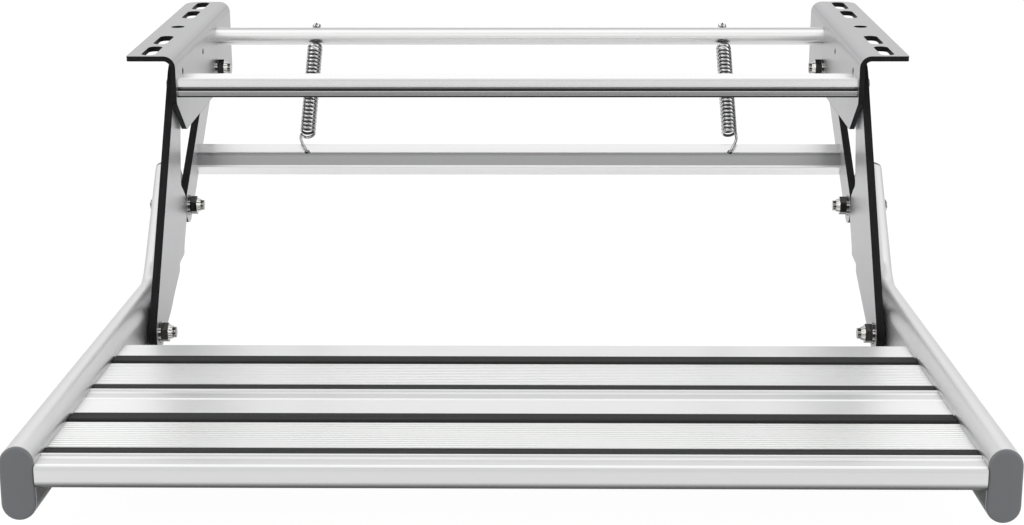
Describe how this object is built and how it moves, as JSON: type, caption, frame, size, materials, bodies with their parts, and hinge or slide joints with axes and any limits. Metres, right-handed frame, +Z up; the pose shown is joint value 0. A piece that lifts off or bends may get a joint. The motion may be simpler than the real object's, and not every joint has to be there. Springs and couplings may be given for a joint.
{
  "type": "caravan entry step",
  "caption": "Fold-under entry step with a ribbed metal tread on two bent side tubes, hung from slotted floor brackets by pairs of swinging arms with pull springs.",
  "frame": {"origin": "midway between the two round mounting holes, on the top faces of the mounting flanges", "axes": "+X to the right seen from in front of the step, +Y from the step nosing back under the floor, +Z up; the step is stored let down for use"},
  "size_m": [0.6, 0.6945, 0.2155],
  "materials": {
    "plated_plate": "satin zinc-plated sheet with dark cut edges",
    "spring_wire": "bright zinc-plated wire",
    "nylon": "matt",
    "cap_plastic": "matt moulded grey",
    "ribbed_rubber": "matt ribbed",
    "tube_aluminium": "satin anodised",
    "tread_aluminium": "satin anodised extrusion",
    "bar_aluminium": "satin anodised extrusion",
    "rod_steel": "bright zinc-plated bar",
    "bright_zinc": "bright zinc plating"
  },
  "bodies": {
    "mounting_frame": {"left_bracket": "plated_plate", "right_bracket": "plated_plate", "front_cross_bar": "bar_aluminium", "rear_cross_rod": "rod_steel", "cross_bar_screws": "bright_zinc", "front_pivot_bolts": "bright_zinc", "rear_pivot_bolts": "bright_zinc", "bracket_nuts": "bright_zinc", "bracket_washers": "bright_zinc", "bracket_slip_washers": "nylon", "left_spring": "spring_wire", "right_spring": "spring_wire"},
    "outer_arms": {"left_outer_arm": "plated_plate", "right_outer_arm": "plated_plate"},
    "inner_arms": {"left_inner_arm": "plated_plate", "right_inner_arm": "plated_plate", "inner_cross_bar": "bar_aluminium", "inner_bar_screws": "bright_zinc", "upper_pivot_studs": "bright_zinc", "upper_nuts": "bright_zinc", "upper_washers": "bright_zinc", "upper_slip_washers": "nylon"},
    "step": {"left_side_tube": "tube_aluminium", "right_side_tube": "tube_aluminium", "rear_tread_plank": "tread_aluminium", "front_tread_plank": "tread_aluminium", "rear_wide_strip": "ribbed_rubber", "rear_narrow_strip": "ribbed_rubber", "front_wide_strip": "ribbed_rubber", "front_narrow_strip": "ribbed_rubber", "left_front_cap": "cap_plastic", "right_front_cap": "cap_plastic", "left_leg_cap": "cap_plastic", "right_leg_cap": "cap_plastic", "tread_screws": "bright_zinc", "upper_pivot_bolts": "bright_zinc", "lower_pivot_bolts": "bright_zinc", "lower_nuts": "bright_zinc", "lower_washers": "bright_zinc", "lower_slip_washers": "nylon"}
  },
  "joints": [
    {"name": "fold", "type": "hinge", "parent": "mounting_frame", "child": "outer_arms", "pos_m": [0, -0.096, -0.029], "axis": [1, 0, 0], "range_deg": [0, 75]},
    {"name": "inner_arm_swing", "type": "hinge", "parent": "mounting_frame", "child": "inner_arms", "pos_m": [0, 0.052, -0.0447], "axis": [1, 0, 0], "range_deg": [0, 108.1], "deforming": ["left_spring", "right_spring"]},
    {"name": "step_tilt", "type": "hinge", "parent": "outer_arms", "child": "step", "pos_m": [0, -0.222, -0.1935], "axis": [1, 0, 0], "range_deg": [-79.3, 0]}
  ],
  "couplings": [
    {"joint": "inner_arm_swing", "follows": "fold", "ratio": 1.4409},
    {"joint": "step_tilt", "follows": "fold", "ratio": -1.0566}
  ]
}
